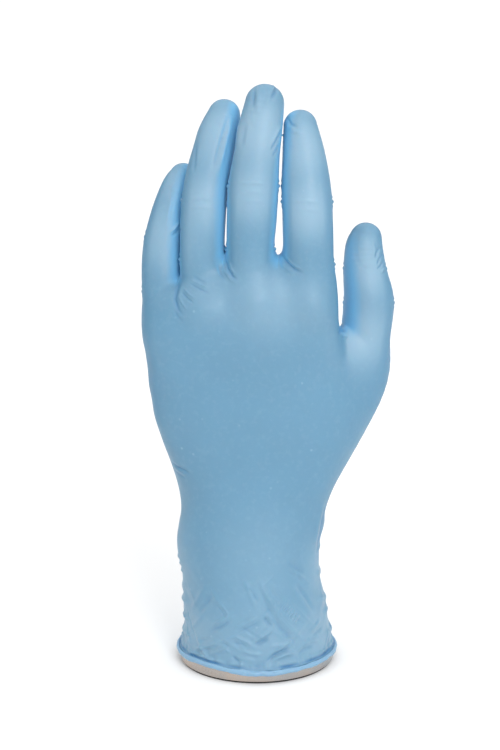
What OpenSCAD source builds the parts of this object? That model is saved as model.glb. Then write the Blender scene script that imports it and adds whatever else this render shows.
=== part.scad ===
// Disposable glove on a left display hand that stands on a round steel base.
// The back of the hand faces -Y, the thumb is at +X, and the fingers point along +Z.

/* [Base] */
// Radius of the steel base disc
disc_r = 34; // [33:0.1:34]
// Thickness of the base disc
disc_t = 6; // [5.5:0.1:6.4]
// Rounding of the disc's top edge
disc_round = 1.2; // [0.5:0.1:1.8]
// Thickness of the foot pad under the disc
pad_t = 1; // [0.6:0.1:1.2]
// How far the pad stays inside the disc's edge
pad_inset = 0.8; // [0.4:0.1:2]

/* [Swivel] */
// Nominal diameter of the swivel screw
screw_d = 8; // [8:0.1:8.2]
// Overall length of the swivel screw
screw_len = 22; // [20:0.5:24]
// Radius of the nylon thrust washer
thrust_r = 15; // [12:0.5:20]
// Thickness of the thrust washer
thrust_t = 1; // [0.6:0.1:1.2]
// Radius of the wrist plate under the form
plate_r = 26; // [24:0.5:27]
// Thickness of the wrist plate
plate_t = 4; // [3:0.5:5]
// Diameter of the circle that the plate's screws lie on
plate_pcd = 38; // [36:0.5:40]
// Number of plate screws
plate_screws = 3; // [3,4]

/* [Glove] */
// Wall of the glove as modelled, thicker than the real film
film_t = 0.4; // [0.3:0.05:0.5]
// Free gap between the form and the film
film_gap = 0.3; // [0.25:0.05:0.4]
// Height of the rolled bead's centre above the ground
bead_z = 5; // [4.6:0.1:5.4]
// Radius of the rolled bead
bead_r = 0.9; // [0.8:0.05:1]
// Height where the loose cuff takes over from the hand of the glove
cuff_top = 62; // [58:1:66]

/* [Hidden] */

digit_sides = 16;      // facets round a finger
loft_sides = 40;       // facets round the palm, the wrist and the cuff
slice = 0.02;          // thickness of the discs that the loft is hulled from
fit = 0.1;             // clearance of the hardware round the swivel
inner_gap = 0.1;       // gap between the bead's inside and the disc

disc_top = pad_t + disc_t;
plate_z = disc_top + thrust_t;
form_z = plate_z + plate_t;            // underside of the cast form
spring_t = 1.2;
spring_r = 9;
nut_z = form_z + spring_t;
nut_h = 8;
nut_af = 13;                           // across flats
pocket_r = 12;
pocket_top = nut_z + nut_h + 4;
head_r = 8;                            // countersunk head of the swivel screw
head_h = 4.4;
hex_af = 5;
hex_depth = 3;
screw_z = pad_t + 0.1;
bead_ring_r = disc_r + inner_gap + bead_r;

insert_r = 3;
insert_h = 9;
small_d = 4;                           // plate screws
small_head_r = 3.9;
small_head_h = 2.2;
small_len = 11;

// Sections of the glove's outside from the base to the palm: [height, left, right, front, back].
cuff_sections = [
    [7.3, -34.6, 34.6, -34.6, 34.6],
    [9, -33.5, 33.5, -33.4, 33.4],
    [12, -32.6, 32.7, -32.3, 32.3],
    [18, -32.1, 31.4, -30.8, 30.8],
    [26, -32.2, 30.5, -28.8, 28.8],
    [36, -32.6, 28.1, -26.2, 26.2],
    [48, -34.4, 27.5, -23.6, 23.4],
    [cuff_top, -34.2, 29.6, -21, 20.8]];
palm_sections = [
    [cuff_top, -34.2, 29.6, -21, 20.8],
    [74, -32.6, 29.7, -19.4, 19.8],
    [86, -35.1, 32.5, -18.2, 20],
    [98, -39.9, 35.7, -17.6, 19.6],
    [114, -44.8, 36.8, -17.2, 18.4],
    [130, -45.2, 37, -16.7, 16.5],
    [146, -47.6, 35.2, -15.5, 14.6],
    [158, -47.2, 33.3, -14, 13],
    [166, -40.5, 32.8, -12.2, 11.4],
    [172, -29, 31.8, -9.6, 9.8],
    [177.5, -18, 27, -6, 8]];

// Paths of the digits along the glove's outside: [x, y, z, half width].
thumb_path = [[17.5, 6, 82, 12.6], [33.8, 11, 108, 15], [43.4, 14, 126, 14.2], [47, 14, 143, 11.2],
              [48.6, 14.5, 158.5, 11], [47, 15.5, 170, 9.6], [46.3, 16.5, 181, 8.3], [47.1, 17.5, 185.8, 7]];
index_path = [[21, 0, 140, 11.8], [22, -0.4, 170, 10.9], [21.5, 1, 199, 10.8], [20.8, 3.6, 212, 10.5],
              [19.8, 7.2, 224.6, 9.1], [18.4, 10.5, 236, 7.2]];
middle_path = [[-1, -1.2, 142, 12], [-2.9, -1, 178, 10.2], [-2.2, 0.5, 199, 10.7], [-1.5, 2.3, 212.6, 10.7],
               [0.2, 4.6, 225.2, 9.5], [1.5, 6.6, 234, 9.1], [3.2, 8.9, 246, 8.4]];
ring_path = [[-22, 0.2, 138, 11.4], [-23.4, 1.6, 172, 9.6], [-23, 4.5, 197, 9.7], [-21.5, 9, 211.8, 9.6],
             [-18.7, 13.3, 223, 9.3], [-16.5, 15.5, 231.6, 8.8], [-14.1, 17.5, 239.7, 6.9]];
little_path = [[-36, 3, 128, 9.6], [-40.3, 4.5, 157.5, 8.7], [-40.9, 9.6, 178.8, 8.7], [-38.6, 13.2, 194.1, 8],
               [-34.6, 18.6, 206.9, 7.1], [-31.8, 21.4, 212.1, 6.1]];
// Balls that fill the web of skin between the thumb's first four balls and the palm.
web_path = [[18, 1, 82, 12], [28, 2, 104, 13], [34, 5, 124, 11.5], [37.5, 9, 141, 7.4]];
digit_depth = 0.92;    // a digit's depth over its width

// One elliptical slice of the loft, grown outwards by a distance.
module section(s, grow) {
    translate([(s[1] + s[2]) / 2, (s[3] + s[4]) / 2, s[0]])
        scale([(s[2] - s[1]) / 2 + grow, (s[4] - s[3]) / 2 + grow, 1])
            cylinder(r = 1, h = slice, $fn = loft_sides);
}

// A skin over consecutive sections; the last one is also lifted by the given distance.
module loft(sections, grow, lift = 0) {
    last = len(sections) - 1;
    for (i = [0 : last - 1])
        hull() {
            section(sections[i], grow);
            translate([0, 0, i + 1 == last ? lift : 0])
                section(sections[i + 1], grow);
        }
}

// One ball of a digit, flattened between the back and the palm of the hand.
module digit_ball(p, grow) {
    translate([p[0], p[1], p[2]])
        scale([p[3] + grow, p[3] * digit_depth + grow, p[3] + grow])
            sphere(r = 1, $fn = digit_sides);
}

// A digit as a chain of hulled balls.
module digit(path, grow) {
    for (i = [0 : len(path) - 2])
        hull() {
            digit_ball(path[i], grow);
            digit_ball(path[i + 1], grow);
        }
}

// The whole hand above the cuff, grown outwards by a distance.
module hand_solid(grow) {
    loft(palm_sections, grow, grow);
    for (path = [thumb_path, index_path, middle_path, ring_path, little_path])
        digit(path, grow);
    for (i = [0 : len(web_path) - 2])
        hull() {
            digit_ball(web_path[i], grow);
            digit_ball(web_path[i + 1], grow);
            digit_ball(thumb_path[i], grow);
            digit_ball(thumb_path[i + 1], grow);
        }
}

// Puts its children on the plate screws' circle.
module on_plate_circle() {
    for (i = [0 : plate_screws - 1])
        rotate([0, 0, 90 + i * 360 / plate_screws])
            translate([plate_pcd / 2, 0, 0])
                children();
}

module base_disc() {
    color([0.78, 0.75, 0.72])
        difference() {
            rotate_extrude($fn = 96)
                translate([0, pad_t])
                    union() {
                        square([disc_r, disc_t - disc_round]);
                        square([disc_r - disc_round, disc_t]);
                        translate([disc_r - disc_round, disc_t - disc_round])
                            circle(r = disc_round, $fn = 48);
                    }
            translate([0, 0, pad_t - 1])
                cylinder(r = screw_d / 2 + fit, h = disc_t + 2, $fn = 48);
            translate([0, 0, pad_t - 0.01])
                cylinder(r1 = head_r + 2 * fit, r2 = screw_d / 2 + fit, h = head_h + fit, $fn = 48);
        }
}

module foot_pad() {
    color([0.08, 0.08, 0.09])
        cylinder(r = disc_r - pad_inset, h = pad_t, $fn = 96);
}

module swivel_screw() {
    color([0.35, 0.35, 0.37])
        difference() {
            union() {
                translate([0, 0, screw_z])
                    cylinder(r1 = head_r, r2 = screw_d / 2, h = head_h, $fn = 48);
                translate([0, 0, screw_z + head_h - 0.01])
                    cylinder(r = screw_d / 2, h = screw_len - head_h, $fn = 48);
            }
            translate([0, 0, screw_z - 0.01])
                cylinder(r = hex_af / sqrt(3), h = hex_depth, $fn = 6);
        }
}

module thrust_washer() {
    color([0.92, 0.91, 0.87])
        translate([0, 0, disc_top])
            difference() {
                cylinder(r = thrust_r, h = thrust_t, $fn = 64);
                translate([0, 0, -1])
                    cylinder(r = screw_d / 2 + fit, h = thrust_t + 2, $fn = 48);
            }
}

module spring_washer() {
    color([0.6, 0.6, 0.62])
        translate([0, 0, form_z])
            difference() {
                cylinder(r = spring_r, h = spring_t, $fn = 64);
                translate([0, 0, -1])
                    cylinder(r = screw_d / 2 + fit, h = spring_t + 2, $fn = 48);
            }
}

module lock_nut() {
    color([0.7, 0.7, 0.72])
        translate([0, 0, nut_z])
            difference() {
                union() {
                    cylinder(r = nut_af / sqrt(3), h = nut_h - 2, $fn = 6);
                    cylinder(r = nut_af / 2 - 0.6, h = nut_h, $fn = 48);
                }
                translate([0, 0, -1])
                    cylinder(r = screw_d / 2 + 0.02, h = nut_h + 2, $fn = 48);
            }
}

module wrist_plate() {
    color([0.76, 0.77, 0.79])
        translate([0, 0, plate_z])
            difference() {
                cylinder(r = plate_r, h = plate_t, $fn = 96);
                translate([0, 0, -1])
                    cylinder(r = screw_d / 2 + fit, h = plate_t + 2, $fn = 48);
                on_plate_circle()
                    union() {
                        translate([0, 0, -1])
                            cylinder(r = small_d / 2 + fit, h = plate_t + 2, $fn = 32);
                        translate([0, 0, -0.01])
                            cylinder(r = small_head_r + fit, h = small_head_h + 0.1, $fn = 32);
                    }
            }
}

// Brass bushes cast into the form, one for each plate screw.
module thread_inserts() {
    color([0.78, 0.62, 0.3])
        translate([0, 0, form_z])
            on_plate_circle()
                difference() {
                    cylinder(r = insert_r, h = insert_h, $fn = 32);
                    translate([0, 0, -1])
                        cylinder(r = small_d / 2 + 0.02, h = insert_h + 2, $fn = 32);
                }
}

module plate_screws() {
    color([0.6, 0.6, 0.62])
        translate([0, 0, plate_z + 0.1])
            on_plate_circle()
                difference() {
                    union() {
                        cylinder(r = small_head_r, h = small_head_h - 0.1, $fn = 32);
                        cylinder(r = small_d / 2, h = small_len, $fn = 32);
                    }
                    translate([0, 0, -0.01])
                        cylinder(r = 1.4, h = 1.4, $fn = 6);
                }
}

// The cast hand and forearm, with a pocket for the swivel's nut.
module hand_form() {
    inside = -film_t - film_gap;
    color([0.93, 0.89, 0.83])
        difference() {
            union() {
                intersection() {
                    loft(cuff_sections, inside - 0.6);
                    translate([0, 0, form_z])
                        cylinder(r = 60, h = 100, $fn = 24);
                }
                hand_solid(inside);
            }
            translate([0, 0, form_z - 1])
                cylinder(r = pocket_r, h = pocket_top - form_z + 1, $fn = 32);
            translate([0, 0, form_z - 1])
                on_plate_circle()
                    cylinder(r = insert_r + 0.05, h = insert_h + 1.3, $fn = 24);
        }
}

// The film over the hand, from the fingertips to the wrist.
module glove_hand() {
    color([0.45, 0.68, 0.85])
        difference() {
            hand_solid(0);
            difference() {
                hand_solid(-film_t);
                translate([0, 0, -1])
                    cylinder(r = 60, h = 1, $fn = 24);
            }
            translate([0, 0, cuff_top - 40])
                cylinder(r = 70, h = 40 + slice + film_gap, $fn = 24);
            section(palm_sections[0], -film_t);
        }
}

// The loose cuff, from the wrist down over the edge of the disc to the bead.
module glove_cuff() {
    lip = [bead_z + bead_r + 0.03, -34.75, 34.75, -34.75, 34.75];
    color([0.45, 0.68, 0.85])
        difference() {
            loft(concat([lip], cuff_sections), 0);
            loft(concat([[bead_z, lip[1], lip[2], lip[3], lip[4]]], cuff_sections), -film_t);
            translate([0, 0, cuff_top])
                cylinder(r = 60, h = 1, $fn = 24);
        }
}

// The rolled edge of the glove, which grips the disc.
module cuff_bead() {
    color([0.42, 0.7, 0.92])
        translate([0, 0, bead_z])
            rotate_extrude($fn = 96)
                translate([bead_ring_r, 0])
                    circle(r = bead_r, $fn = 32);
}

base_disc();
foot_pad();
swivel_screw();
thrust_washer();
spring_washer();
lock_nut();
hand_form();
wrist_plate();
thread_inserts();
plate_screws();
glove_hand();
glove_cuff();
cuff_bead();
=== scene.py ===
"""A disposable nitrile glove on a life-size left display hand, standing on a round steel disc.

The hand is described by a signed distance field: balls along each digit's bones, joined to a lofted palm.
The glove's film and the cast form inside it are both skinned from that field, and the film then gets its
folds. All shape sizes are in millimetres, and turn into metres when a mesh is made.
"""

import math
from itertools import product

import bpy
import numpy as np
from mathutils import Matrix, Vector


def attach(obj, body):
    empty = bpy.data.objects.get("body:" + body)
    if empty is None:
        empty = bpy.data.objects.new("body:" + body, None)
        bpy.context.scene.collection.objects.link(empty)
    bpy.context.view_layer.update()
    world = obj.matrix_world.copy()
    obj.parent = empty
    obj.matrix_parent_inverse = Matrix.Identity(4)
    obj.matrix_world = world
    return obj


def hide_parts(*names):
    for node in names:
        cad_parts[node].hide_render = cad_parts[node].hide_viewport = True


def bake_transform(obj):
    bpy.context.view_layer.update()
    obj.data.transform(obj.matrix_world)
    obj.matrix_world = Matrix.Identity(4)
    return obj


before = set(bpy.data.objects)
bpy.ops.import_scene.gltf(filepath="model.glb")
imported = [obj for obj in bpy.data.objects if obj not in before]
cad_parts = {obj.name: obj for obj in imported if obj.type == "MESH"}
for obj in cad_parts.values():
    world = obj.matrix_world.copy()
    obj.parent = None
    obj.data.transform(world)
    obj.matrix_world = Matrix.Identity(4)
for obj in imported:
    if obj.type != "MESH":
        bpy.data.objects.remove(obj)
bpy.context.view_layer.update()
MM = 0.001

# ---------------------------------------------------------------- camera, lights and floor

camera = bpy.data.objects.new("camera", bpy.data.cameras.new("camera"))
bpy.context.collection.objects.link(camera)
camera.location = (-0.003, -1.1, 0.43)
look_down = 15.29
camera.rotation_euler = (math.radians(90 - look_down), 0, 0)
camera.data.lens = 126.7
camera.data.clip_start, camera.data.clip_end = 0.05, 50
camera.data.dof.use_dof = False
bpy.context.scene.camera = camera
bpy.context.scene.view_settings.view_transform = "Standard"


def area_light(name, place, target, size, power):
    """A square softbox that faces the target."""
    lamp = bpy.data.lights.new(name, "AREA")
    lamp.size, lamp.energy = size, power
    thing = bpy.data.objects.new(name, lamp)
    bpy.context.collection.objects.link(thing)
    thing.location = place
    thing.rotation_euler = (Vector(target) - Vector(place)).to_track_quat("-Z", "Y").to_euler()


area_light("front_softbox", (0.8, -2.1, 1.35), (0, 0, 0.13), 1.0, 27)
area_light("overhead", (0, 0.6, 3.8), (0, 0.6, 0), 12, 430)

world = bpy.data.worlds.new("studio")
bpy.context.scene.world = world
world.use_nodes = True
world.node_tree.nodes["Background"].inputs["Color"].default_value = (1, 1, 1, 1)
world.node_tree.nodes["Background"].inputs["Strength"].default_value = 0.42


# ---------------------------------------------------------------- the hand's measurements

# The steel disc that the cuff is stretched round: its radius, its top and the rounding of its top edge.
DISC_R, DISC_TOP, DISC_ROUND = 34.0, 7, 1.2
# The radius that turns an angle round the cuff into a distance.
CUFF_R = 31
# Height where the loose cuff ends.
CUFF_TOP = 62
# Thickness of the film.
FILM_T = 0.3

# How far the form lies inside the hand's surface, how much further in the cuff, the height of its underside,
# and its pocket for the swivel's nut.
FORM_GAP, CUFF_GAP = 0.95, 1.9
FORM_Z = 12.0
POCKET_R, POCKET_TOP = 12.0, 25.2

# Sections from the base to the palm: [height, left, right, front, back].
SECTIONS = [
    [5.0, -34.5, 34.5, -34.5, 34.5],
    [6.4, -34.2, 34.2, -34.2, 34.2],
    [7.6, -33.5, 33.5, -33.5, 33.5],
    [9.6, -32.8, 32.9, -32.7, 32.7],
    [13, -32.4, 32.6, -31.9, 31.9],
    [18, -32.1, 31.4, -30.8, 30.8],
    [26, -32.2, 30.5, -28.8, 28.8],
    [36, -32.6, 28.1, -26.2, 26.2],
    [42, -33.2, 27.4, -24.9, 24.9],
    [48, -34.6, 27.6, -23.6, 23.4],
    [55, -35.1, 28.2, -22.2, 22.0],
    [62, -34.2, 29.7, -21, 20.8],
    [68, -33.1, 30, -20.2, 20.0],
    [74, -32.5, 29.6, -19.4, 19.4],
    [80, -33.3, 30.6, -18.7, 18.8],
    [86, -35.0, 32.4, -18.2, 18.2],
    [92, -37.3, 34.2, -17.8, 17.6],
    [100, -40.6, 36.0, -17.5, 16.8],
    [114, -44.8, 36.6, -17.2, 15.2],
    [130, -45.0, 37.0, -16.6, 13.6],
    [138, -46.2, 36.4, -16.0, 13.4],
    [146, -47.6, 35.2, -15.4, 13.0],
    [158, -47.2, 33.2, -13.9, 12.6],
    [165, -41.5, 32.8, -12.3, 11.4],
    [170, -33, 32.2, -10.4, 10.4],
    [174.5, -25, 30.6, -7.8, 9.6],
    [178.5, -18, 27.5, -4, 8.6],
    [184, -10, 21, 1, 7],
]
PALM_TOP = 180.8

# Balls along each digit's bones: [x, y, z, half width].
DIGITS = {
    "thumb": [[17.5, 6, 82, 12.6], [33.8, 11, 108, 15], [43.4, 14, 126, 14.2], [47, 14, 143, 11.2],
              [48.6, 14.5, 158.5, 11], [47, 15.5, 170, 9.6], [46.3, 16.5, 181, 8.3], [47.1, 17.5, 185.8, 7]],
    "index": [[21, 0, 140, 11.8], [22.0, -0.4, 170, 10.9], [21.5, 1, 199, 10.8], [20.8, 3.6, 212, 10.5],
              [19.8, 7.2, 224.6, 9.1], [18.4, 10.5, 236, 7.2]],
    "middle": [[-1, -1.2, 142, 12.0], [-2.9, -1, 178, 10.2], [-2.2, 0.5, 199, 10.7], [-1.5, 2.3, 212.6, 10.7],
               [0, 4.6, 225.2, 9.7], [1.1, 6.6, 234, 9.5], [3.2, 8.9, 246, 8.4]],
    "ring": [[-22, 0.2, 138, 11.4], [-23.4, 1.6, 172, 9.6], [-23.0, 4.5, 197, 9.7], [-21.5, 9.0, 211.8, 9.6],
             [-18.7, 13.3, 223, 9.3], [-16.5, 15.5, 231.6, 8.8], [-14.1, 17.5, 239.7, 6.9]],
    "little": [[-36, 3, 128, 9.6], [-40.3, 4.5, 157.5, 8.7], [-40.9, 9.6, 178.8, 8.7],
               [-38.6, 13.2, 194.1, 8], [-34.6, 18.6, 206.9, 7.1], [-31.8, 21.4, 212.1, 6.1]],
}
# The heights between which each digit comes apart from its neighbour.
WEBS = {"index": (168, 181), "middle": (168, 181), "ring": (166, 179), "little": (152, 166)}
THUMB_WEB = (137, 151)
# A digit's depth for its width.
DIGIT_DEPTH = 0.92

# How softly parts of the hand join: digits below and above their web, fingers and knuckles with the palm,
# and the rounding at the palm's top.
FINGER_WEB_JOIN, THUMB_WEB_JOIN = (9, 0.4), (10, 0.4)
FINGER_JOIN, KNUCKLE_JOIN = 6.5, 5.5
PALM_EDGE = 5

# Fleshy pads of the palm and the thumb: balls along each, and how softly it joins the palm.
PADS = [
    ([[18, 1, 82, 12], [28, 2, 104, 13], [34, 5, 124, 11.5], [37.5, 9, 141, 7.2]], 9),
    ([[-22, 6, 78, 10], [-27.4, 8, 98, 11], [-31.4, 8, 118, 11], [-32.4, 6, 134, 9]], 8),
    ([[-34, 5, 148, 8], [-20, 6, 154, 8.5], [0, 6.5, 156, 9], [22, 6, 153, 9]], 6),
]
KNUCKLES = [[23.5, -5.6, 160, 8.6], [-1, -6.6, 163, 9], [-22.5, -5.6, 159, 8.6], [-38.5, -2.0, 149, 7.8]]

# Nails: centre, outward direction, half width, half length.
THUMB_NAIL = ((49.6, 8.4, 182), (0.42, -0.9, 0.12), 5.6, 7.2)
FINGER_NAILS = [
    ((18.6, 0.8, 234), (0.05, -0.96, 0.28), 4.8, 6.4),
    ((2.7, -1.2, 243.5), (0.05, -0.96, 0.28), 5.2, 6.8),
    ((-15.4, 7.3, 238), (-0.12, -0.94, 0.3), 4.6, 6.2),
    ((-33.2, 13.3, 212), (-0.3, -0.9, 0.3), 3.9, 5.2),
]


# ---------------------------------------------------------------- distance fields

# A distance larger than any that matters.
FAR = 90.0


def wrap(value, half_turn=math.pi):
    """An angle, or a distance round, brought to between minus and plus half a turn."""
    return (value + half_turn) % (2 * half_turn) - half_turn


def smooth_curve(rows, steps):
    """A Catmull-Rom curve through the rows, with that many steps in each span."""
    rows = np.array(rows, float)
    padded = np.vstack([2 * rows[0] - rows[1], rows, 2 * rows[-1] - rows[-2]])
    out = []
    for i in range(1, len(padded) - 2):
        a, b, c, d = padded[i - 1 : i + 3]
        for t in np.arange(steps) / steps:
            out.append(b + 0.5 * t * (c - a + t * (2 * a - 5 * b + 4 * c - d + t * (3 * (b - c) + d - a))))
    return np.array(out + [rows[-1]])


def chain_distance(points, balls):
    """Distance to a chain of balls that is DIGIT_DEPTH as deep as it is wide."""
    flat = np.array([1, 1 / DIGIT_DEPTH, 1])
    q = points * flat
    best = np.full(len(points), np.inf)
    for a, b in zip(balls[:-1], balls[1:]):
        pa, pb = a[:3] * flat, b[:3] * flat
        ab = pb - pa
        t = np.clip(((q - pa) @ ab) / max(ab @ ab, 1e-9), 0, 1)
        best = np.minimum(best, np.linalg.norm(q - pa - t[:, None] * ab, axis=1) - (a[3] + t * (b[3] - a[3])))
    return best


def soft_min(a, b, k):
    """The smaller of two distances, rounded where they meet."""
    h = np.maximum(k - np.abs(a - b), 0) / k
    return np.minimum(a, b) - h * h * k / 4


def palm_distance(x, y, z):
    """Distance to the rounded sections of the cuff, the wrist and the palm."""
    dense = smooth_curve(SECTIONS, 10)
    left, right, front, back = (np.interp(z, dense[:, 0], dense[:, i]) for i in (1, 2, 3, 4))
    u = np.abs(x - (left + right) / 2) / ((right - left) / 2)
    v = np.abs(y - (front + back) / 2) / ((back - front) / 2)
    # A circle at the disc turns into a squarer oval at the palm.
    n = 2 + 0.35 * np.clip((z - 50) / 60, 0, 1)
    g = np.maximum((u**n + v**n) ** (1 / n), 1e-3)
    slope = np.hypot((u / g) ** (n - 1) / ((right - left) / 2), (v / g) ** (n - 1) / ((back - front) / 2))
    return -soft_min((1 - g) / np.maximum(slope, 1e-3), PALM_TOP - z, PALM_EDGE)


def join(field, points, rows, k):
    """Lowers the field to a smooth union with a chain of balls."""
    balls = smooth_curve(rows, 5)
    # Points further off than this feel nothing of the chain.
    reach = balls[:, 3:] + 10
    near = ((points > (balls[:, :3] - reach).min(0)) & (points < (balls[:, :3] + reach).max(0))).all(1)
    k = np.broadcast_to(k, len(points))[near]
    field[near] = soft_min(field[near], chain_distance(points[near], balls), k)


def hand_distance(points):
    """Distance to the whole hand: the digits join at their webs and stay apart above them."""
    z = points[:, 2]
    palm = palm_distance(*points.T)
    for rows, k in PADS + [([ball, ball], KNUCKLE_JOIN) for ball in KNUCKLES]:
        join(palm, points, rows, k)
    fingers = np.full(len(points), FAR)
    for name, web in WEBS.items():
        join(fingers, points, DIGITS[name], np.interp(z, web, FINGER_WEB_JOIN))
    hand = soft_min(palm, fingers, FINGER_JOIN)
    join(hand, points, DIGITS["thumb"], np.interp(z, THUMB_WEB, THUMB_WEB_JOIN))
    return hand


class Grid:
    """A regular grid of sample points and the hand's distance at each of them."""

    def __init__(self, low, high, step):
        self.low, self.step = np.array(low, float), np.broadcast_to(step, 3)
        shape = np.ceil((np.array(high) - low) / step).astype(int) + 1
        axes = [self.low[i] + self.step[i] * np.arange(shape[i]) for i in range(3)]
        self.points = np.stack(np.meshgrid(*axes, indexing="ij"), -1)
        self.field = hand_distance(self.points.reshape(-1, 3)).reshape(shape)


def skin(grid, field):
    """Vertices and four-sided faces of the surface where the field is zero (surface nets)."""
    inside = field < 0
    n = [s - 1 for s in field.shape]
    count = np.zeros(n, np.int8)
    for c in product((0, 1), repeat=3):
        count += inside[tuple(slice(c[a], n[a] + c[a]) for a in range(3))]
    cells = np.argwhere((count > 0) & (count < 8))
    index = np.full(n, -1, np.int32)
    index[tuple(cells.T)] = np.arange(len(cells))
    total, hits = np.zeros((len(cells), 3)), np.zeros(len(cells))
    for axis in range(3):
        for c in product((0, 1), repeat=2):
            a = np.insert(np.array(c), axis, 0)
            b = np.insert(np.array(c), axis, 1)
            va, vb = field[tuple((cells + a).T)], field[tuple((cells + b).T)]
            cross = (va < 0) != (vb < 0)
            t = va[cross] / (va[cross] - vb[cross])
            total[cross] += a + t[:, None] * (b - a)
            hits[cross] += 1
    points = grid.low + grid.step * (cells + total / hits[:, None])
    faces = []
    for axis in range(3):
        u, v = [a for a in range(3) if a != axis]
        size = list(field.shape)
        size[axis] -= 1
        here = inside[tuple(slice(0, s) for s in size)]
        there = inside[tuple(slice(1, None) if a == axis else slice(0, size[a]) for a in range(3))]
        edges = np.argwhere(here != there)
        edges = edges[(edges[:, u] > 0) & (edges[:, v] > 0) & (edges[:, u] < n[u]) & (edges[:, v] < n[v])]
        du, dv = np.eye(3, dtype=int)[u], np.eye(3, dtype=int)[v]
        quad = np.stack([index[tuple((edges - s).T)] for s in (0 * du, du, du + dv, dv)], 1)
        flip = here[tuple(edges.T)] != (axis == 1)
        quad[flip] = quad[flip][:, ::-1]
        faces.append(quad)
    faces = np.vstack(faces)
    return points, faces[(faces >= 0).all(1)][:, ::-1]


class Surface:
    """Mesh points with four-sided faces, and other faces where a finer part meets a coarser one."""

    def __init__(self, points, quads, others=()):
        self.points, self.quads, self.others = points, quads, list(others)
        # Faces grouped by their number of corners.
        sizes = sorted({len(f) for f in self.others})
        self.groups = [quads] + [np.array([f for f in self.others if len(f) == k]) for k in sizes]
        pairs = [g[:, [i, (i + 1) % g.shape[1]]] for g in self.groups for i in range(g.shape[1])]
        self.edges = np.unique(np.sort(np.vstack(pairs), axis=1), axis=0)
        self.degree = np.maximum(np.bincount(self.edges.ravel(), minlength=len(points)), 1)

    def mean(self, values):
        """Each point's mean over its neighbours."""
        a, b = self.edges.T
        out = np.zeros_like(values)
        for i in range(values.shape[1]):
            out[:, i] = np.bincount(a, values[b, i], len(values)) + np.bincount(b, values[a, i], len(values))
        return out / self.degree[:, None]

    def relax(self, rounds, share=0.5):
        """Evens out the points."""
        for _ in range(rounds):
            self.points = self.points + share * (self.mean(self.points) - self.points)

    def normals(self):
        """Each point's outward direction."""
        p = self.points
        out = np.zeros_like(p)
        for f in self.groups:
            q = p[f]
            area = np.cross(q, np.roll(q, -1, axis=1)).sum(1)
            for i, a in product(range(f.shape[1]), range(3)):
                out[:, a] += np.bincount(f[:, i], area[:, a], len(p))
        return out / np.maximum(np.linalg.norm(out, axis=1), 1e-9)[:, None]

    def push(self, amount):
        """Moves each point out along its normal."""
        self.points = self.points + amount[:, None] * self.normals()

    def settle(self, rounds=1):
        """Moves the points onto the hand's surface, by a short step at most in each round."""
        for _ in range(rounds):
            self.push(-np.clip(hand_distance(self.points), -0.6, 0.6))

    def finer(self, chosen):
        """A surface whose chosen quads are split in four."""
        p, quads, count = self.points, self.quads, len(self.points)
        pick, rest = quads[chosen], quads[~chosen]

        def keys(pairs):
            low, high = pairs.min(-1).astype(np.int64), pairs.max(-1).astype(np.int64)
            return low * count + high

        sides = np.stack([pick[:, [i, (i + 1) % 4]] for i in range(4)], 1)
        cut, place = np.unique(keys(sides), return_inverse=True)
        place = place.reshape(-1, 4) + count
        middle = np.arange(len(pick)) + count + len(cut)
        points = np.vstack([p, (p[cut // count] + p[cut % count]) / 2, p[pick].mean(1)])
        small = np.vstack([np.stack([pick[:, i], place[:, i], middle, place[:, i - 1]], 1) for i in range(4)])
        split = {int(k): int(count + i) for i, k in enumerate(cut)}
        touched = np.isin(keys(np.stack([rest[:, [i, (i + 1) % 4]] for i in range(4)], 1)), cut).any(1)
        others = []
        for f in [list(map(int, f)) for f in rest[touched]] + self.others:
            out = []
            for a, b in zip(f, f[1:] + f[:1]):
                out.append(a)
                key = min(a, b) * count + max(a, b)
                if key in split:
                    out.append(split[key])
            others.append(out)
        return Surface(points, np.vstack([rest[~touched], small]), others)


def make_object(name, points, faces, attributes=None):
    """A smooth-shaded mesh object, from millimetres."""
    mesh = bpy.data.meshes.new(name)
    mesh.from_pydata((points * MM).tolist(), [], faces if isinstance(faces, list) else faces.tolist())
    mesh.polygons.foreach_set("use_smooth", [True] * len(mesh.polygons))
    for key, values in (attributes or {}).items():
        mesh.attributes.new(key, "FLOAT", "POINT").data.foreach_set("value", values.astype(np.float32))
    mesh.update()
    thing = bpy.data.objects.new(name, mesh)
    bpy.context.collection.objects.link(thing)
    return thing


# ---------------------------------------------------------------- folds in the film


def stroke_distance(u, v, path):
    """Signed distance from (u, v) to a polyline, and the place along it from 0 to 1."""
    path = np.array(path, float)
    best, sign, place = np.full(len(u), np.inf), np.ones(len(u)), np.zeros(len(u))
    lengths = np.linalg.norm(np.diff(path, axis=0), axis=1)
    start = 0.0
    for i, (a, b) in enumerate(zip(path[:-1], path[1:])):
        du, dv = b - a
        raw = ((u - a[0]) * du + (v - a[1]) * dv) / lengths[i] ** 2
        t = np.clip(raw, 0, 1)
        d = np.hypot(u - a[0] - t * du, v - a[1] - t * dv)
        near = d < best
        best[near] = d[near]
        sign[near] = np.sign(du * (v - a[1]) - dv * (u - a[0]))[near]
        place[near] = (start + t * lengths[i])[near] / lengths.sum()
        start += lengths[i]
    return best * sign, place


def fold(u, v, path, width, height):
    """A ridge along a path, or a groove where the height is negative, that fades at both ends."""
    d, place = stroke_distance(u, v, path)
    fade = np.clip(np.minimum(place, 1 - place) * 2.8, 0, 1)
    fade = fade * fade * (3 - 2 * fade)
    return height * fade * np.exp(-((d / width) ** 2))


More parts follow.
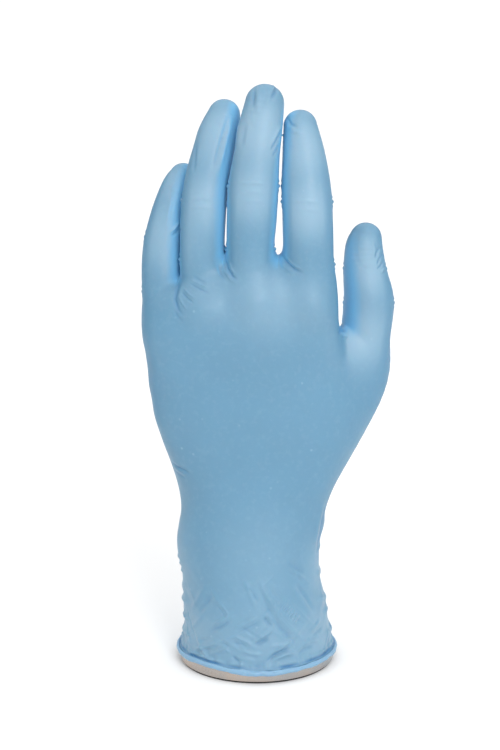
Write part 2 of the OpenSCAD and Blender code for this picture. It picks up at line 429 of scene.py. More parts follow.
# Folds on the back of the hand, as (x, z) paths: path, width, height, which is negative for a groove.
BACK_FOLDS = [
    # Curved creases that run down from the webs between the fingers.
    ([(-13.8, 183), (-12.6, 178), (-10.6, 175.2), (-7.4, 173.6)], 0.6, -0.42),
    ([(-12.2, 182), (-11, 177.8), (-8.2, 175.8)], 0.5, 0.2),
    ([(-15.4, 181.5), (-14.1, 176.8), (-11, 173.6), (-8, 172)], 0.6, 0.24),
    ([(-17, 180.5), (-15.6, 175.6), (-12.6, 172.2)], 0.7, -0.2),
    ([(9.4, 184), (12.3, 180.8), (15.6, 178.2), (20.6, 176.4)], 0.65, -0.42),
    ([(11.6, 183.4), (14.6, 180.2), (19.4, 178.2)], 0.6, 0.2),
    ([(9, 180.6), (12, 178.2), (16.6, 175.8)], 0.8, 0.2),
    ([(-32.2, 174), (-34.2, 168.4), (-35, 165), (-33.6, 161), (-30.6, 158)], 0.8, -0.45),
    ([(-32.6, 168.4), (-29.6, 165.8), (-26.4, 164)], 0.5, -0.28),
    ([(-31.8, 169.8), (-28.8, 167.4), (-25.6, 165.8)], 0.5, 0.24),
    ([(-33.6, 166.6), (-31.6, 163.4), (-29.2, 161)], 0.55, 0.28),
    ([(-29.4, 172), (-24.4, 169.8), (-19.6, 168.2)], 0.5, -0.24),
    ([(-28.6, 173.4), (-24, 171.4), (-19.8, 170)], 0.5, 0.22),
    ([(-28, 175), (-24.4, 173.2), (-21, 172)], 0.5, -0.16),
    ([(-35.6, 161.4), (-34, 158.4), (-31.2, 155.6)], 0.7, -0.2),
    ([(34.8, 150.8), (36.3, 148.6), (39.4, 147.4)], 0.7, -0.6),
    ([(35.2, 147.8), (37, 146), (39.8, 145.2)], 0.7, 0.3),
    # Film drawn tight along the fingertips.
    ([(-0.8, 254), (-1.4, 250), (-2, 244)], 0.8, -0.32),
    ([(0.8, 254), (0.4, 249), (0, 242)], 1.0, 0.24),
    ([(10, 256), (8, 252.6), (5.6, 248.4)], 0.7, -0.42),
    ([(8.4, 256), (5.6, 251), (3, 245)], 0.9, 0.24),
    ([(-6.6, 241), (-7.8, 235), (-8.6, 227)], 0.9, 0.24),
    ([(-4.6, 240), (-5.6, 234), (-6.6, 228)], 0.8, -0.16),
    ([(10.8, 239.4), (8.6, 235), (5.6, 229.4)], 0.8, 0.3),
    ([(10.6, 236), (8.4, 232), (5.4, 227.4)], 0.6, -0.42),
    ([(10, 230.6), (8.2, 227.6), (6.4, 224.6)], 0.6, -0.3),
    ([(-9.6, 243), (-13, 230), (-17, 214)], 1.0, 0.34),
    ([(-11.6, 243), (-15.4, 230), (-19, 217)], 0.9, -0.22),
    ([(-25.6, 232), (-26.4, 224), (-27, 216)], 0.7, -0.26),
    ([(12.2, 241), (14.2, 237.8), (17.6, 236.8)], 0.7, -0.3),
    ([(12.8, 237), (16, 235), (19.6, 234.6)], 0.9, 0.16),
    ([(-36.2, 207), (-38, 200), (-39.6, 192)], 1.0, 0.18),
    ([(-38, 190.6), (-35.4, 192.4), (-32.4, 196)], 0.6, 0.34),
    ([(-37, 189.4), (-34.4, 191), (-32, 193.8)], 0.6, -0.32),
    # Faint lines across the knuckles.
    ([(-9, 214.4), (-2, 215.2), (5, 214.2)], 0.8, 0.12),
    ([(-9.6, 210.8), (-2, 211.4), (5.6, 210.4)], 0.9, 0.12),
    ([(-8, 207), (-1, 207.6), (5, 206.8)], 0.9, 0.1),
    ([(-29, 206.6), (-23, 207.6), (-17, 206.4)], 0.9, 0.12),
    ([(-29, 203.2), (-23, 204), (-17, 202.8)], 0.9, 0.12),
    ([(15, 206.6), (21, 207.4), (28, 206.4)], 0.9, 0.12),
    ([(15, 203), (21, 203.8), (28, 203)], 0.9, 0.1),
    # Wrinkles on the outer side of the thumb's tip.
    ([(53.6, 184), (51.6, 181), (51, 178)], 0.55, -0.3),
    ([(55, 180.6), (52.8, 178), (51.6, 175.4)], 0.55, -0.32),
    ([(55, 177.4), (53.4, 175.2), (51.4, 174)], 0.5, -0.25),
    ([(49.6, 186.8), (50.6, 182.6), (50, 178.8)], 0.7, 0.2),
    ([(55.4, 174), (53.4, 172.6)], 0.6, 0.3),
    # The wrist.
    ([(-38.4, 91.6), (-34.7, 90), (-31.3, 89.4), (-28.4, 87.6)], 0.7, -0.36),
    ([(-37, 89.4), (-33.4, 88.2), (-29.6, 87.4)], 0.8, 0.26),
    ([(-36.6, 87.4), (-33.2, 86.2), (-30, 85.4)], 0.7, -0.2),
    ([(31.4, 77), (28.8, 65), (27.2, 54.7), (26.4, 42)], 1.0, -0.6),
    ([(29, 76), (26.4, 64), (25, 53)], 1.3, 0.28),
    ([(-30, 62), (-12, 58), (8, 60)], 3.2, 0.2),
]

# Folds in the loose cuff, as (distance round from the front, height) paths.
CUFF_FOLDS = [
    # Long folds that run down towards the thumb's side.
    ([(-1, 47.3), (4, 39.3), (8, 34.2), (11, 28.1), (16, 22.4), (20.5, 17.6), (27, 14.1)], 1.5, 0.34),
    ([(1, 41.3), (4.5, 34.3), (7, 29.2), (11, 23.1), (15.5, 17.4)], 1.0, -0.15),
    ([(-7, 45.2), (-3, 37.3), (0, 31.3)], 1.2, 0.18),
    ([(-5, 41.8), (-2, 37.8), (0.5, 34.3)], 0.8, -0.18),
    ([(6, 44.2), (12, 36.1), (19, 28.7)], 1.6, 0.16),
    ([(12, 22.1), (15.5, 17.9), (18, 15.3)], 1.0, -0.24),
    ([(14, 45), (21, 37.6), (27, 29.1), (31, 20.8)], 1.6, 0.2),
    ([(21, 41.6), (27, 34.1), (31, 26.8)], 1.2, -0.16),
    ([(17, 51.8), (22, 48), (29, 44)], 1.0, -0.22),
    ([(18, 48.8), (23, 45.2), (30, 41.4)], 1.1, 0.26),
    # Short folds across the middle.
    ([(-23, 20.4), (-17, 23.2), (-12, 27.5)], 0.8, -0.26),
    ([(-22, 23.1), (-17, 25.8), (-13, 29.4)], 0.9, 0.24),
    ([(-20, 32.6), (-17, 29.8), (-14.5, 26.9)], 0.6, -0.16),
    ([(-18.4, 33.7), (-15.4, 30.9), (-13, 28)], 0.6, 0.14),
    ([(-11, 22.7), (-5, 25.9), (1, 28.9)], 0.8, 0.28),
    ([(-9.6, 21.1), (-4, 24.1), (1.6, 26.9)], 0.6, -0.16),
    ([(2.8, 29.3), (4.6, 26.7), (7.4, 23.8)], 0.9, -0.28),
    ([(4.8, 30.3), (7, 27.6), (9.6, 25.1)], 0.8, 0.16),
    ([(-1.6, 16.7), (1.6, 17.9), (5.6, 20)], 0.9, -0.3),
    ([(-0.6, 19.1), (3, 20.5), (7.6, 23.2)], 0.8, 0.28),
    ([(-14, 19), (-9, 19.8), (-4, 17.9), (-1, 15.3)], 0.8, 0.2),
    ([(-12, 17.1), (-7, 17.2), (-3, 15.3)], 0.7, -0.16),
    # Folds that come up from the bead.
    ([(-33, 9.8), (-26, 12), (-19, 15.3), (-14, 18.6)], 0.9, 0.38),
    ([(-29, 14), (-23, 16.4), (-18, 19.8)], 0.9, -0.14),
    ([(-22, 9.9), (-17, 12.4), (-13.4, 14), (-10.4, 12.1)], 0.8, 0.34),
    ([(-19, 15.7), (-15, 16.3), (-11, 15.1)], 0.7, -0.16),
    ([(-11, 11.7), (-8.4, 10), (-6, 9)], 0.8, -0.34),
    ([(-8, 14.6), (-2, 12.9), (3, 12.7)], 0.9, 0.28),
    ([(3.6, 9.3), (6.6, 11.8), (10.4, 13.5), (16, 14.3)], 0.8, -0.46),
    ([(5.4, 9.1), (8.6, 11), (12.6, 12), (18, 12.4)], 0.9, 0.4),
    ([(5, 15.9), (11, 16.1), (18, 17.4)], 0.8, 0.22),
    ([(17, 10.8), (21, 12.6), (27, 12.7)], 0.8, -0.24),
    ([(19, 14.7), (25, 15.3), (32, 13.7)], 1.0, 0.28),
    ([(24, 18.4), (30, 20.3), (36, 22.3)], 0.9, 0.22),
    ([(26, 16.8), (31, 17.8), (37, 18.2)], 0.8, -0.18),
    # Soft folds that run down towards the little finger's side.
    ([(-36, 25.3), (-31, 31.8), (-26, 40.2)], 1.5, 0.26),
    ([(-31, 24.8), (-26, 31.2), (-21, 37.6)], 1.2, -0.18),
    ([(-38, 16.1), (-32, 20.7), (-24, 29.4)], 1.2, 0.2),
    ([(-26, 40.2), (-19, 33.7), (-15, 28.9)], 1.2, 0.12),
    # Short folds that wrap round the two sides and break the outline.
    ([(-58, 48), (-50, 46.8), (-42, 48)], 0.8, 0.26),
    ([(-57, 44.6), (-49, 43.6), (-43, 45)], 0.7, 0.28),
    ([(-56, 41), (-48, 40.4), (-43, 42)], 0.7, 0.25),
    ([(-58, 26), (-49, 27.4), (-36, 30)], 1.5, 0.49),
    ([(-56, 19), (-47, 20), (-34, 23)], 1.3, 0.41),
    ([(-55, 33), (-47, 34), (-38, 37)], 1.6, 0.25),
    ([(-55, 13), (-46, 13.4), (-36, 15)], 1.2, 0.25),
    ([(38, 42), (47, 40), (56, 41)], 1.3, 0.33),
    ([(34, 32), (46, 28), (58, 27)], 1.5, 0.33),
    ([(38, 24), (46, 23), (55, 21)], 1.2, 0.29),
    ([(36, 15), (46, 13), (56, 12)], 1.3, 0.33),
    ([(40, 50), (48, 52), (56, 50)], 1.2, 0.2),
    # The back of the cuff.
    ([(62, 44), (74, 32), (86, 18)], 2.0, 0.45),
    ([(96, 40), (84, 30), (70, 22)], 1.8, 0.35),
    ([(-62, 40), (-76, 28), (-88, 14)], 2.0, 0.45),
    ([(-96, 36), (-82, 34), (-68, 22)], 1.6, 0.35),
    ([(-90, 9), (-76, 13), (-62, 9)], 1.4, -0.5),
    ([(60, 9), (74, 12), (90, 10)], 1.4, -0.5),
]
# A patch of fine parallel wrinkles on the thumb's side.
for i in range(6):
    start, end = (12.2 + 1.1 * i, 30.4 - 1.2 * i), (16.2 + 1.1 * i, 33.8 - 1.2 * i)
    CUFF_FOLDS.append(([start, end], 0.45, 0.26))

# How much stronger the folds are made than the two tables say.
BACK_STRENGTH, CUFF_STRENGTH = 1.35, 2.05

# Bunched film round the palm side of the joints: the heights of each digit's joints, and how strong each is.
# The ends of the bunches are small bumps on the digit's flanks.
JOINT_FOLDS = {
    "index": ((178.4, 1.0), (205.2, 0.85)),
    "middle": ((185, 1.0), (211.9, 0.85)),
    "ring": ((180, 1.0), (205, 0.85)),
    "little": ((165, 0.4), (188, 0.4)),
    "thumb": ((158, 0.5), (173, 0.5)),
}
# The folds of one bunch: height from the joint, width, height of the fold.
BUNCH = ((0, 0.75, 0.75), (2.0, 0.6, 0.3), (-1.9, 0.6, 0.3), (0.95, 0.45, -0.25))


def cuff_strokes(count, seed):
    """Random crumples round the cuff: angle, place up the cuff, slope, half length, width, height."""
    rng = np.random.default_rng(seed)
    for _ in range(count):
        z = 8 + 50 * rng.random() ** 1.6
        low = np.clip((58 - z) / 46, 0.08, 1)
        yield (rng.uniform(-math.pi, math.pi), z, rng.normal(0.7, 0.4) * rng.choice([-1, 1]),
               rng.uniform(2.5, 8), rng.uniform(0.6, 1.5), rng.uniform(-0.4, 0.5) * low)


def along_arc(points):
    """Distance round the cuff from the front, towards the thumb."""
    return np.arctan2(points[:, 0], -points[:, 1]) * CUFF_R


def crease_reach(points, normals):
    """True near the small creases, where the mesh has to be finer."""
    x, _, z = points.T
    # The loose cuff, then the thin folds on the back, the joints and the thumb's nail.
    out = (z < 46) & (z > 5.6) & (np.abs(along_arc(points)) < 62)
    for path, width, _ in BACK_FOLDS:
        if width < 1.5:
            out |= (normals[:, 1] < 0.3) & (np.abs(stroke_distance(x, z, path)[0]) < 2.6)
    for name, joints in JOINT_FOLDS.items():
        near = np.abs(chain_distance(points, smooth_curve(DIGITS[name], 5))) < 1
        for place, _ in joints:
            out |= near & (np.abs(z - place) < 3) & (normals[:, 1] > -0.6)
    out |= np.linalg.norm(points - THUMB_NAIL[0], axis=1) < 10
    return out


def film_surface():
    """The hand's surface, finer near its creases, and the coarse quads that it started with."""
    # Finer across the hand, where the fingers' sides nearly meet.
    step = np.array((0.7, 1.2, 1.2))
    grid = Grid((-54, -39, 4.6), (63, 39, 259), step)
    surface = Surface(*skin(grid, grid.field))
    coarse = surface.quads
    surface.relax(2)
    surface.settle(2)
    for level in range(2):
        near = crease_reach(surface.points, surface.normals())
        if level == 1:
            # The back of the cuff is fine enough with one split.
            near &= (surface.points[:, 2] > 60) | (np.abs(along_arc(surface.points)) < 54)
        surface = surface.finer(near[surface.quads].all(1))
        surface.settle()
    surface.relax(2, 0.35)
    return surface, coarse


def overlap_patches(arc):
    """Where the film bulges over the bead, from 0 to 1: not at the middle of the front."""
    patches = np.clip(0.75 + 0.35 * np.sin(arc / 4.7 + 0.5) + 0.25 * np.sin(arc / 1.7), 0, 1)
    return patches * (1 - np.exp(-(((arc - 1.5) / 8) ** 4)))


def nail_lift(points, normals, nail, rise, groove):
    """A raised nail with a groove round it."""
    centre, out, half_width, half_length = nail
    out = np.array(out) / np.linalg.norm(out)
    side = np.cross(out, (0, 0, 1))
    side /= np.linalg.norm(side)
    up = np.cross(side, out)
    rel = points - centre
    r = ((np.abs(rel @ side) / half_width) ** 3 + (np.abs(rel @ up) / half_length) ** 3) ** (1 / 3)
    facing = np.clip((normals @ out - 0.3) * 3, 0, 1) * (np.abs(rel @ out) < 6)
    return facing * (rise * np.clip((1.0 - r) * 8, 0, 1) - groove * np.exp(-(((r - 1.08) / 0.09) ** 2)))


def film_lift(p, n, arc):
    """How far each point of the film stands out from the hand, or in where it is negative."""
    x, _, z = p.T
    lift = np.zeros(len(p))
    back_side = np.clip((0.25 - n[:, 1]) * 4, 0, 1)
    for path, width, height in BACK_FOLDS:
        lift += back_side * BACK_STRENGTH * fold(x, z, path, width, height)
    palm_side = np.clip((n[:, 1] + 0.3) * 4, 0, 1)
    for name, joints in JOINT_FOLDS.items():
        near = np.clip(2 - np.abs(chain_distance(p, smooth_curve(DIGITS[name], 5))), 0, 1)
        for (place, size), (shift, width, height) in product(joints, BUNCH):
            lift += size * near * palm_side * height * np.exp(-(((z - place - shift) / width) ** 2))

    low_cuff = np.clip((66 - z) / 10, 0, 1)
    for path, width, height in CUFF_FOLDS:
        lift += low_cuff * CUFF_STRENGTH * fold(arc, z, path, width, height)
    for angle, level, slope, half, width, height in cuff_strokes(240, 7):
        u = wrap(arc - angle * CUFF_R, math.pi * CUFF_R)
        v = z - level
        norm = math.hypot(1, slope)
        t, s = (u + slope * v) / norm, (v - slope * u) / norm
        close = (np.abs(t) < 2.5 * half) & (np.abs(s) < 4 * width)
        bell = np.exp(-((t[close] / half) ** 2) - ((s[close] / width) ** 2))
        lift[close] += height * bell * low_cuff[close]

    # Small pleats where the film tucks in behind the bead, all the way round.
    rng = np.random.default_rng(11)
    for place in rng.uniform(-97, 97, 110):
        height, width = rng.uniform(-0.45, 0.5), rng.uniform(0.6, 1.6)
        lift += height * np.exp(-(((arc - place) / width) ** 2) - ((z - 7.6) / 1.8) ** 2)
    # The bulge over the bead, and the groove under it.
    bulge = 0.4 * np.exp(-(((z - 8.3) / 0.8) ** 2)) - 0.45 * np.exp(-(((z - 6.9) / 0.5) ** 2))
    lift += overlap_patches(arc) * bulge
    # The folds nearly die out at the film's lower edge.
    lift *= np.clip((z - 5.2) / 2.2, 0.15, 1)

    lift += nail_lift(p, n, THUMB_NAIL, 0.08, 0.05)
    for nail in FINGER_NAILS:
        lift += nail_lift(p, n, nail, 0.06, 0.03)
    return lift


def bead_rise(angle):
    """How far the rolled bead rides up the disc's edge, at an angle from the front."""
    return 1.2 * np.exp(-(((angle + 0.72) / 0.45) ** 2)) + 0.5 * np.exp(-(((angle - 0.85) / 0.45) ** 2))


def clear_disc(points):
    """Moves the film outside the disc's rounded edge, with a small gap."""
    gap = 0.1
    up = np.clip(points[:, 2] - (DISC_TOP - DISC_ROUND), 0, DISC_ROUND)
    edge = DISC_R - DISC_ROUND + np.sqrt(np.clip(DISC_ROUND**2 - up**2, 0, None)) + gap
    spread = np.where(points[:, 2] < DISC_TOP + gap, edge / np.hypot(points[:, 0], points[:, 1]), 1)
    points[:, :2] *= np.maximum(spread, 1)[:, None]


# Where the film is stretched over a bone, or over the disc, it is paler; these patches also paint light into
# it, a painted sheen on the fingers, knuckles and thumb and painted light on the low cuff: place, reach and
# amount.
STRETCH_AND_LIGHT_PATCHES = [
    ((19, -1, 229), 14, 0.75), ((21.5, -10, 204), 13, 0.85), ((1, -4, 238), 15, 0.85),
    ((-2, -9, 211), 13, 0.72), ((-16, 5, 234), 14, 0.75), ((-22, -4, 207), 13, 0.68),
    ((-38, 3, 190), 15, 0.6), ((-33, 14, 210), 9, 0.5), ((46.5, 7, 175), 14, 0.8),
    ((44, 2, 146), 14, 0.82), ((3, -14, 166), 17, 0.38), ((0, -24, 50), 24, 0.22),
    ((-22, -13, 166), 12, 0.22), ((22, -13, 164), 13, 0.22), ((0, -30, 12), 22, 0.35),
    ((-24, -22, 15), 16, 0.3), ((24, -22, 15), 16, 0.3),
]


def film_tones(film, p, arc, lift):
    """How much each point of the film takes of each tone: paler stretch, painted shade and painted light. p
    is where it was before it was folded.
    """
    z = p[:, 2]
    n = film.normals()
    # Painted shade: deeper in its grooves, and where it tucks in behind the bead; below 0 on its ridges,
    # where it paints a highlight.
    tuck = np.exp(-(((z - 6.9) / 0.65) ** 2)) * (0.15 + 0.85 * overlap_patches(arc))
    fold_shade_and_highlight = np.maximum(np.clip(-lift / np.interp(z, (60, 80), (0.95, 0.62)), -1.2, 1.2), 2.5 * tuck)
    # How closely the rest of the hand stands in front of it, for a painted blue bounce light: the light there
    # has already met blue film.
    crevice = np.clip(1.15 - hand_distance(film.points + 10 * n) / 7, 0, 1) * np.clip((z - 60) / 20, 0, 1)
    side = np.clip((np.abs(n[:, 0]) - 0.55) / 0.45, 0, 1)
    # Painted shade on the sides of the digits, partly also deeper, less stretched film.
    flank_deep_and_shade = side * np.interp(z, (95, 115, 205, 225), (0, 1, 1, 0.3)) * (1 - crevice)
    stretch_and_light = np.zeros(len(p))
    for place, reach, amount in STRETCH_AND_LIGHT_PATCHES:
        stretch_and_light += (1 - stretch_and_light) * amount * np.exp(-(((p - place) ** 2).sum(1) / reach**2) ** 1.3)
    # The sides of the low cuff are lightened too: painted light.
    stretch_and_light = stretch_and_light * (1 - 0.7 * flank_deep_and_shade) + 0.42 * side * np.clip((70 - z) / 20, 0, 1)
    return {"stretch_and_light": stretch_and_light, "fold_shade_and_highlight": fold_shade_and_highlight, "flank_deep_and_shade": flank_deep_and_shade, "crevice": crevice}


def shell(surface, inside, thickness):
    """Adds the inside of the film, on coarser quads of the same points, and closes its lower edge."""
    p = surface.points
    inner = p[: inside.max() + 1] - thickness * surface.normals()[: inside.max() + 1]
    pairs = np.vstack([inside[:, [i, (i + 1) % 4]] for i in range(4)])
    _, where, counts = np.unique(np.sort(pairs, axis=1), axis=0, return_index=True, return_counts=True)
    rim = pairs[where[counts == 1]]
    wall = np.stack([rim[:, 1], rim[:, 0], rim[:, 0] + len(p), rim[:, 1] + len(p)], 1)
    quads = np.vstack([surface.quads, inside[:, ::-1] + len(p), wall])
    return np.vstack([p, inner]), quads.tolist() + surface.others


def make_glove():
    """The glove's film, from its lower edge to the fingertips."""
    film, coarse = film_surface()
    flat = film.points
    arc = along_arc(flat)
    lift = film_lift(flat, film.normals(), arc)
    film.push(lift)
    # The film's lower edge rides up with the bead.
    film.points[:, 2] += bead_rise(arc / CUFF_R) * np.clip((9 - flat[:, 2]) / 3, 0, 1)
    clear_disc(film.points)
    tones = film_tones(film, flat, arc, lift)
    points, faces = shell(film, coarse, FILM_T)
    # The inside takes the tones of the outside.
    both_sides = {key: np.concatenate([v, v[: len(points) - len(v)]]) for key, v in tones.items()}
    print("scene: glove has", len(faces), "faces")
    return make_object("glove_film", points, faces, both_sides)


print("scene: building the hand")
glove = make_glove()

# ---------------------------------------------------------------- the rolled bead

# Radius of the plain roll, and how much narrower and taller than round it is.
ROLL, ROLL_WIDE, ROLL_TALL = 1.08, 0.8, 1.12
# Points round the disc and round the roll.
TURNS, SIDES = 720, 20
# All the dents, and those of them that are at the middle of the front.
DENTS, FRONT_DENTS = 290, 30
# Random angles lie between 0 and this, just under a full turn.
ANY_ANGLE = 6.28


def make_bead():
    """The glove's rolled edge, with its dents, a wound groove and a bunched stretch at the front."""
    rng = np.random.default_rng(3)
    theta = np.arange(TURNS) * 2 * math.pi / TURNS
    phi = np.arange(SIDES) * 2 * math.pi / SIDES

    def waves(least, power, counts):
        """Waves round the roll, lower where they are shorter."""
        return sum(rng.uniform(least, 1) / k**power * np.sin(k * theta + rng.uniform(0, ANY_ANGLE))
                   for k in counts)

    rough = waves(0.3, 0.4, (9, 14, 23, 37, 61, 83))
    drift = waves(0.4, 0.7, (3, 5, 8, 13, 21))
    # The roll is bunched at the middle of the front, and its inside always rests on the disc.
    front = np.exp(-((wrap(theta - 0.05) / 0.27) ** 2))
    radius = ROLL * (0.9 + 0.26 * front + 0.1 * rough)
    ring = DISC_R + 0.06 + ROLL_WIDE * radius
    height = 5.1 + 0.18 * drift + bead_rise(wrap(theta))
    angle, turn = np.meshgrid(theta, phi, indexing="ij")
    # A shallow groove winds round the roll where the film's edge ends.
    groove = 1 - 0.07 * np.exp(-((wrap(turn - 3 * angle) / 0.35) ** 2))
    roll = radius[:, None] * groove
    for i in range(DENTS):
        a, b, long, wide, deep = rng.uniform((0, 0, 0.03, 0.35, -0.3), (ANY_ANGLE, ANY_ANGLE, 0.1, 0.8, 0.2))
        if i >= DENTS - FRONT_DENTS:
            a, b = 0.11 * (a - ANY_ANGLE / 2), 0.4 * (b - 1)
            long, deep = 0.03 + 0.2 * (long - 0.03), 1.6 * deep
        u, v = wrap(angle - a), wrap(turn - b)
        roll = roll + deep * ROLL * np.exp(-((u / long) ** 2) - ((v / wide) ** 2))
    out = ring[:, None] + ROLL_WIDE * roll * np.cos(turn)
    rise = height[:, None] + ROLL_TALL * roll * np.sin(turn)
    points = np.stack([out * np.sin(angle), -out * np.cos(angle), rise], -1).reshape(-1, 3)
    i, j = np.meshgrid(np.arange(TURNS), np.arange(SIDES), indexing="ij")
    next_i, next_j = (i + 1) % TURNS, (j + 1) % SIDES
    quads = np.stack([i * SIDES + j, next_i * SIDES + j, next_i * SIDES + next_j, i * SIDES + next_j], -1)
    return make_object("rolled_bead", points, quads.reshape(-1, 4))


bead = make_bead()

# ---------------------------------------------------------------- the cast form inside


def make_form():
    """The cast hand inside the glove, with a flat underside and a pocket for the swivel's nut."""
    grid = Grid((-52, -37, 10), (61, 37, 257), 1.1)
    x, y, z = np.moveaxis(grid.points, -1, 0)
    core = grid.field + FORM_GAP + CUFF_GAP * np.clip((CUFF_TOP - z) / 12, 0, 1)
    core = np.maximum(core, FORM_Z - z)
    core = np.maximum(core, -np.maximum(np.hypot(x, y) - POCKET_R, z - POCKET_TOP))
    surface = Surface(*skin(grid, core))
    surface.relax(2)
    p, n = surface.points, surface.normals()
    lift = np.zeros(len(p))
    for nail in (THUMB_NAIL, *FINGER_NAILS):
        lift += nail_lift(p + FORM_GAP * n, n, nail, 0.35, 0.25)
    surface.push(lift)
    return make_object("cast_hand", surface.points, surface.quads)


form = make_form()

# ---------------------------------------------------------------- materials


class Paint:
    """A small helper that builds one procedural material."""

    def __init__(self, name):
        self.material = bpy.data.materials.new(name)
        self.material.use_nodes = True
        self.tree = self.material.node_tree
        self.shader = self.tree.nodes["Principled BSDF"]
        self.place = self.add("ShaderNodeTexCoord").outputs["Object"]

    def add(self, kind, **values):
        """A new node with these settings."""
        node = self.tree.nodes.new(kind)
        for key, value in values.items():
            setattr(node, key, value)
        return node

    def link(self, source, socket):
        self.tree.links.new(source, socket)

    def set(self, **values):
        """Sets the shader's own sockets."""
        for key, value in values.items():
            self.shader.inputs[key.replace("_", " ")].default_value = value

    def noise(self, scale, detail, rough=0.55, stretch=(1, 1, 1)):
        """Soft noise, finer with a larger scale."""
        spread = self.add("ShaderNodeMapping")
        spread.inputs["Scale"].default_value = stretch
        self.link(self.place, spread.inputs["Vector"])
        node = self.add("ShaderNodeTexNoise")
        node.inputs["Scale"].default_value = scale
        node.inputs["Detail"].default_value = detail
        node.inputs["Roughness"].default_value = rough
        self.link(spread.outputs["Vector"], node.inputs["Vector"])
        return node.outputs["Fac"]

    def attribute(self, name):
        """A value stored at the mesh's points."""
        return self.add("ShaderNodeAttribute", attribute_name=name).outputs["Fac"]

    def span(self, source, low, high, to_low=0.0, to_high=1.0):
        """The source's range from low to high, stretched to another range."""
        node = self.add("ShaderNodeMapRange")
        for key, value in zip(("From Min", "From Max", "To Min", "To Max"), (low, high, to_low, to_high)):
            node.inputs[key].default_value = value
        self.link(source, node.inputs["Value"])
        return node.outputs["Result"]

    def mix(self, factor, first, second):
        """A colour between the first and the second."""
        node = self.add("ShaderNodeMix", data_type="RGBA")
        for source, socket in ((factor, node.inputs[0]), (first, node.inputs[6]), (second, node.inputs[7])):
            if isinstance(source, (float, int)):
                socket.default_value = source
            elif isinstance(source, tuple):
                socket.default_value = (*source, 1)
            else:
                self.link(source, socket)
        return node.outputs[2]

    def bump(self, source, distance, strength, under=None):
        """A normal that follows the source, on top of another one."""
        node = self.add("ShaderNodeBump")
        node.inputs["Distance"].default_value = distance
        node.inputs["Strength"].default_value = strength
        self.link(source, node.inputs["Height"])
        if under is not None:
            self.link(under, node.inputs["Normal"])
        return node.outputs["Normal"]


# Painted shade on the flanks of the fingers, partly also the deeper colour of less stretched film.
FLANK_SHADE_BLUE = (0.062, 0.22, 0.378)
# Painted blue bounce light, where the film faces more blue film.
CREVICE_BOUNCE_BLUE = (0.165, 0.45, 0.7)


def nitrile(name, plain, light, deep=None):
    """Satin nitrile, faintly mottled. Given a deep colour, it also follows the film's tones, which paint
    shade and light into it.
    """
    paint = Paint(name)
    colour = paint.mix(paint.span(paint.noise(35, 4), 0.3, 0.7), plain, tuple(0.93 * c for c in plain))
    colour = paint.mix(paint.span(paint.noise(420, 3), 0.5, 0.75, 0, 0.1), colour, light)
    # Pale specks in scattered patches.
    spots = paint.add("ShaderNodeTexVoronoi")
    spots.inputs["Scale"].default_value = 190
    paint.link(paint.place, spots.inputs["Vector"])
    speckled = paint.add("ShaderNodeMath", operation="MULTIPLY")
    paint.link(paint.span(paint.noise(60, 2), 0.52, 0.62, 0, 0.4), speckled.inputs[0])
    paint.link(paint.span(spots.outputs["Distance"], 0.06, 0.14, 1, 0), speckled.inputs[1])
    colour = paint.mix(speckled.outputs[0], colour, light)
    if deep:
        # Tone, its range, the most that it mixes in, and its colour.
        for tone, low, high, most, shade in (
            # Paler where stretched, with a painted sheen and painted light.
            ("stretch_and_light", 0, 1, 0.9, light),
            # Painted shade on the flanks, partly deeper film.
            ("flank_deep_and_shade", 0, 1, 0.65, FLANK_SHADE_BLUE),
            # Painted blue bounce light in the crevices.
            ("crevice", 0, 1, 0.75, CREVICE_BOUNCE_BLUE),
            # Painted shade in the grooves and behind the bead.
            ("fold_shade_and_highlight", 0.05, 2.5, 0.95, deep),
            # Painted highlight on the ridges.
            ("fold_shade_and_highlight", -0.1, -1, 0.5, light),
        ):
            colour = paint.mix(paint.span(paint.attribute(tone), low, high, 0, most), colour, shade)
    paint.link(colour, paint.shader.inputs["Base Color"])
    rough = paint.span(paint.noise(160, 3), 0.3, 0.7, 0.4, 0.52)
    paint.link(rough, paint.shader.inputs["Roughness"])
    paint.set(Specular_IOR_Level=0.42, Subsurface_Weight=0.12, Subsurface_Scale=0.001, IOR=1.5)
    soft = paint.bump(paint.noise(260, 3), 0.00018, 0.5)
    fine = paint.bump(paint.noise(1900, 2), 0.00004, 0.4, soft)
    paint.link(fine, paint.shader.inputs["Normal"])
    return paint.material


def metal(name, colour, tint, rough, stretch, scale, grain, metallic=1.0):
    """Metal with fine tool marks; stretch sets which way they run, and rough is the range of roughness."""
    paint = Paint(name)
    marks = paint.noise(scale, 3, 0.6, stretch)
    cloud = paint.span(paint.noise(40, 4), 0.35, 0.65)
    paint.link(paint.mix(cloud, colour, tint), paint.shader.inputs["Base Color"])
    paint.link(paint.span(marks, 0.3, 0.7, *rough), paint.shader.inputs["Roughness"])
    paint.set(Metallic=metallic)
    paint.link(paint.bump(marks, grain, 0.6), paint.shader.inputs["Normal"])
    return paint.material


def zinc(name, stretch, scale):
    """Bright zinc plating."""
    return metal(name, (0.62, 0.63, 0.66), (0.70, 0.69, 0.62), (0.28, 0.42), stretch, scale, 0.00001)


def plastic(name, colour, tint, rough, scale, grain):
    """Plain moulded or cast plastic with a faint grain."""
    paint = Paint(name)
    cloud = paint.span(paint.noise(scale / 6, 4), 0.35, 0.65)
    paint.link(paint.mix(cloud, colour, tint), paint.shader.inputs["Base Color"])
    paint.link(paint.span(paint.noise(scale, 3), 0.3, 0.7, rough - 0.06, rough + 0.06),
               paint.shader.inputs["Roughness"])
    paint.link(paint.bump(paint.noise(scale, 4), grain, 0.5), paint.shader.inputs["Normal"])
    return paint.material
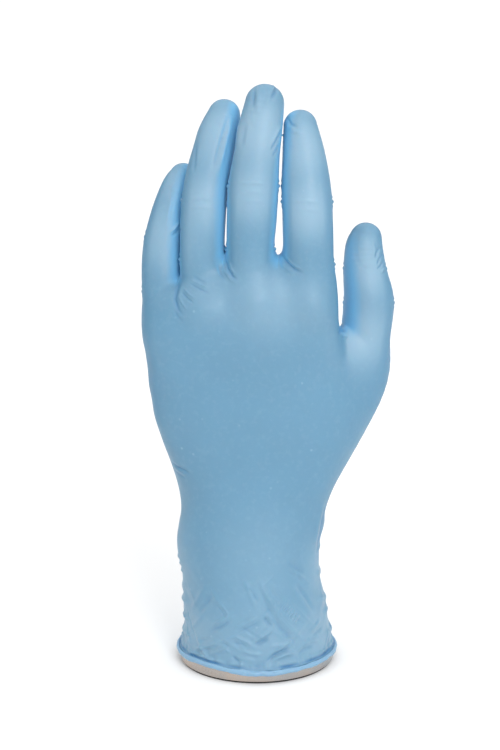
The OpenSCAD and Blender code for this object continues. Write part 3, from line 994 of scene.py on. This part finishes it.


# Its deep colour is the painted shade of the film's grooves.
film_paint = nitrile("nitrile_film", (0.127, 0.288, 0.428), (0.298, 0.456, 0.58), (0.035, 0.165, 0.36))
bead_paint = nitrile("nitrile_bead", (0.23, 0.42, 0.60), (0.36, 0.54, 0.68))
paints = {
    # Grey-blue patches in the beige steel are a painted reflection.
    "base_disc": metal("turned_steel", (0.50, 0.42, 0.36), (0.36, 0.37, 0.38), (0.18, 0.34),
                       (1, 1, 60), 60, 0.00003),
    "foot_pad": plastic("pad_rubber", (0.02, 0.02, 0.022), (0.03, 0.03, 0.032), 0.75, 1500, 0.00006),
    "swivel_screw": metal("black_oxide", (0.05, 0.05, 0.055), (0.08, 0.075, 0.07), (0.4, 0.55),
                          (1, 1, 30), 90, 0.00002, metallic=0.9),
    "thrust_washer": plastic("nylon", (0.80, 0.79, 0.72), (0.84, 0.83, 0.77), 0.45, 900, 0.00002),
    "spring_washer": zinc("zinc_washer", (1, 1, 1), 400),
    "lock_nut": zinc("zinc_nut", (1, 1, 20), 200),
    "wrist_plate": metal("milled_aluminium", (0.74, 0.75, 0.77), (0.68, 0.69, 0.71), (0.25, 0.4),
                         (30, 1, 1), 60, 0.00002),
    "thread_inserts": metal("turned_brass", (0.72, 0.52, 0.22), (0.62, 0.43, 0.18), (0.25, 0.4),
                            (1, 1, 30), 200, 0.00002),
    "plate_screws": zinc("zinc_screws", (1, 1, 20), 200),
}
for node, material in paints.items():
    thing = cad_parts[node]
    thing.data.materials.clear()
    thing.data.materials.append(material)

glove.data.materials.append(film_paint)
bead.data.materials.append(bead_paint)
form.data.materials.append(plastic("cast_resin", (0.72, 0.62, 0.51), (0.76, 0.67, 0.57), 0.5, 700, 0.00005))

# ---------------------------------------------------------------- the moving bodies

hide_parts("glove_hand", "glove_cuff")
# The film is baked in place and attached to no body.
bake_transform(glove)
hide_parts("cuff_bead")
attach(bead, "cuff")
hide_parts("hand_form")
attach(form, "hand")

# ---------------------------------------------------------------- the floor, which isn't part of the object

floor_mesh = bpy.data.meshes.new("floor")
floor_mesh.from_pydata([(-8, -6, 0), (8, -6, 0), (8, 12, 0), (-8, 12, 0)], [], [(0, 1, 2, 3)])
floor = bpy.data.objects.new("floor", floor_mesh)
bpy.context.collection.objects.link(floor)
floor_paint = Paint("floor")
floor_cloud = floor_paint.span(floor_paint.noise(3, 2), 0.3, 0.7)
floor_colour = floor_paint.mix(floor_cloud, (0.92, 0.92, 0.92), (0.94, 0.94, 0.94))
floor_paint.link(floor_colour, floor_paint.shader.inputs["Base Color"])
floor_paint.set(Roughness=0.8, Specular_IOR_Level=0.2)
floor.data.materials.append(floor_paint.material)
